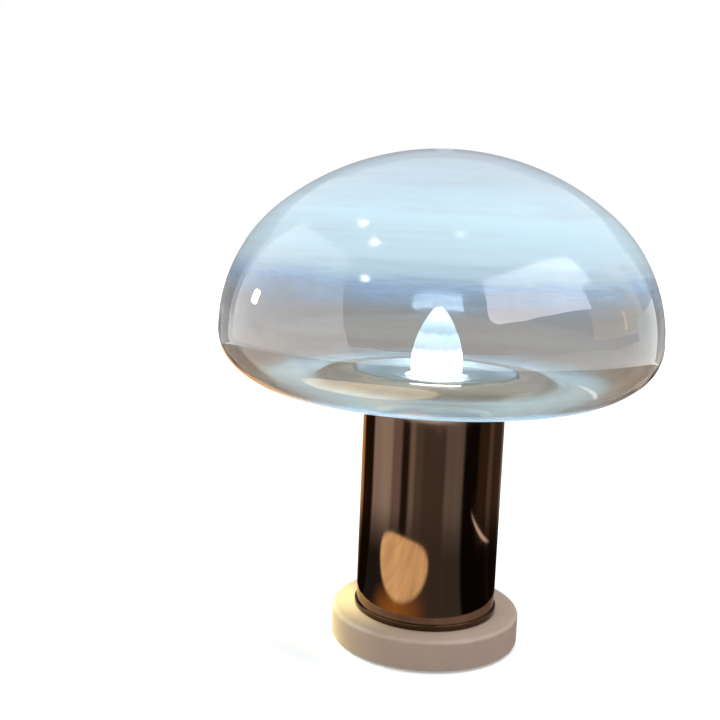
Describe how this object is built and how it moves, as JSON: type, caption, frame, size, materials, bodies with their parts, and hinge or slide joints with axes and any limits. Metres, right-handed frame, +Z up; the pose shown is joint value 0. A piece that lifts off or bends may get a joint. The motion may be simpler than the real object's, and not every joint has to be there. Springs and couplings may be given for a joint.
{
  "type": "mushroom table lamp",
  "caption": "Table lamp with a blown glass mushroom dome resting on a gallery, a wide polished tubular stem and a low round painted base, lit by a screw-in candle bulb.",
  "frame": {"origin": "centre of the foot pad's underside, on the table", "axes": "+Z up along the axis of base, stem and shade; -Y to the front, as pictured; cord inlet at the back on +Y"},
  "size_m": [0.3, 0.3, 0.3415],
  "materials": {
    "shade_glass": "glossy blown glass, milky pale blue above, clear and faintly mirrored below",
    "stem_bronze": "polished dark bronze plating",
    "ring_bronze": "polished bronze plating, lighter than the stem",
    "base_paint": "matt cream powder coat",
    "satin_aluminium": "satin, spun",
    "silicone": "translucent soft silicone",
    "zinc_steel": "bright zinc plate",
    "ballast_iron": "black primer",
    "contact_brass": "stamped brass",
    "holder_plastic": "moulded thermoset, off-white",
    "block_plastic": "natural nylon",
    "black_plastic": "moulded nylon, black",
    "pad_foam": "closed-cell foam",
    "bulb_shell": "opal, lit",
    "bulb_plastic": "white moulded plastic",
    "cap_nickel": "nickel plate",
    "circuit_board": "white solder mask",
    "chip_phosphor": "phosphor over the chip",
    "live_insulation": "brown insulation",
    "neutral_insulation": "blue insulation"
  },
  "bodies": {
    "stand": {"seat_ring": "silicone", "shade_gallery": "satin_aluminium", "holder_cup": "satin_aluminium", "stem_tube": "stem_bronze", "foot_ring": "ring_bronze", "centring_plate": "zinc_steel", "threaded_tube": "zinc_steel", "base_washer": "zinc_steel", "base_nut": "zinc_steel", "plate_washer": "zinc_steel", "plate_nut": "zinc_steel", "cup_washer": "zinc_steel", "cup_nut": "zinc_steel", "base_disc": "base_paint", "ballast_plate": "ballast_iron", "ballast_screws": "zinc_steel", "bottom_cover": "black_plastic", "cover_screws": "zinc_steel", "foot_pad": "pad_foam", "cord_bush": "black_plastic", "inlet_nut": "black_plastic", "cord_clamp": "black_plastic", "clamp_screws": "zinc_steel", "terminal_block": "block_plastic", "block_screw": "zinc_steel", "terminal_barrels": "contact_brass", "terminal_screws": "zinc_steel", "live_lead": "live_insulation", "neutral_lead": "neutral_insulation", "holder_cap": "holder_plastic", "holder_body": "holder_plastic", "holder_insert": "holder_plastic", "centre_contact": "contact_brass", "side_contact": "contact_brass", "thread_sleeve": "contact_brass"},
    "shade": {"glass_shade": "shade_glass"},
    "bulb": {"bulb_tip": "contact_brass", "bulb_insulator": "black_plastic", "bulb_cap": "cap_nickel", "bulb_housing": "bulb_plastic", "driver_board": "circuit_board", "led_board": "circuit_board", "led_chips": "chip_phosphor", "bulb_envelope": "bulb_shell"}
  },
  "joints": [
    {"name": "shade_lift", "type": "slide", "parent": "stand", "child": "shade", "axis": [0, 0, 1], "range_m": [0, 0.07]},
    {"name": "bulb_out", "type": "slide", "parent": "stand", "child": "bulb", "axis": [0, 0, 1], "range_m": [0, 0.03]}
  ]
}
